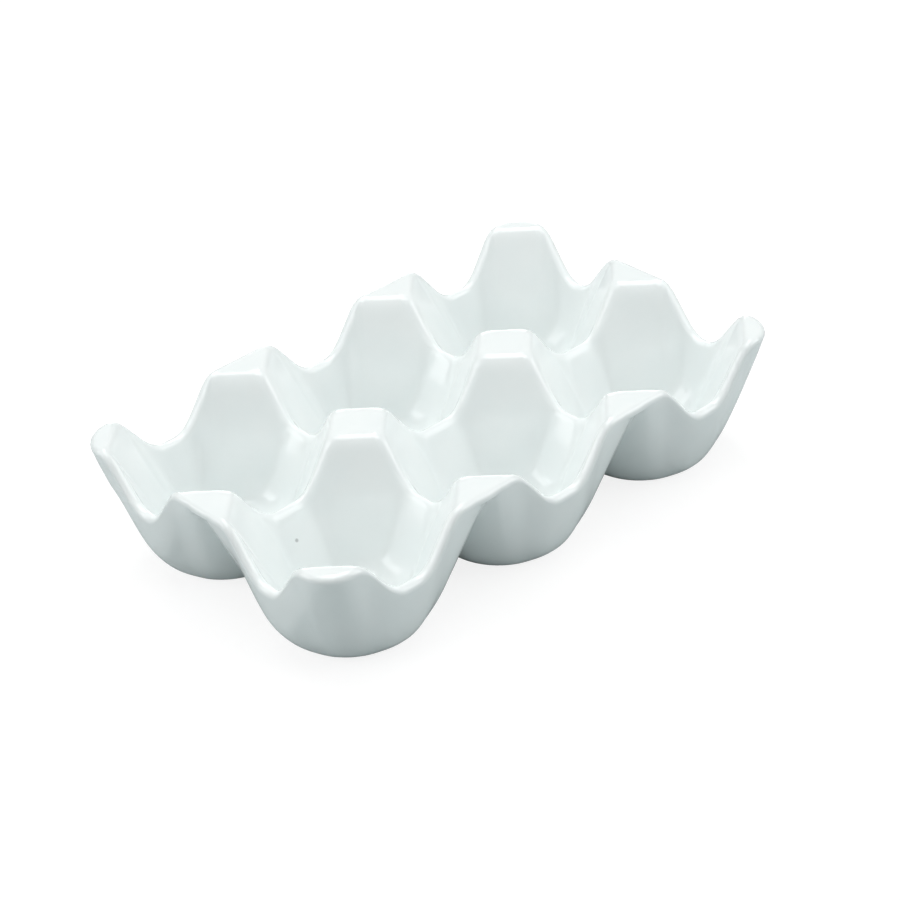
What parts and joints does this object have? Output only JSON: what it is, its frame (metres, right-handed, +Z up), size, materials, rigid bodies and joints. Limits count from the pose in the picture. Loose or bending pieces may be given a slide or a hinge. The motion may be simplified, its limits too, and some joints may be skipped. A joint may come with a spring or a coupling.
{
  "type": "egg holder tray",
  "caption": "Glazed porcelain egg tray with two rows of round-bottomed cups between square posts and a scalloped rim.",
  "frame": {"origin": "centre of the tray's outline, on the plane that its cups stand on", "axes": "+X along the long side, +Y along the short side, +Z up out of the cups"},
  "size_m": [0.1514, 0.0962, 0.0352],
  "materials": {
    "glazed_porcelain": "smooth cool-white gloss glaze"
  },
  "bodies": {
    "root": {"egg_tray": "glazed_porcelain"}
  },
  "joints": []
}
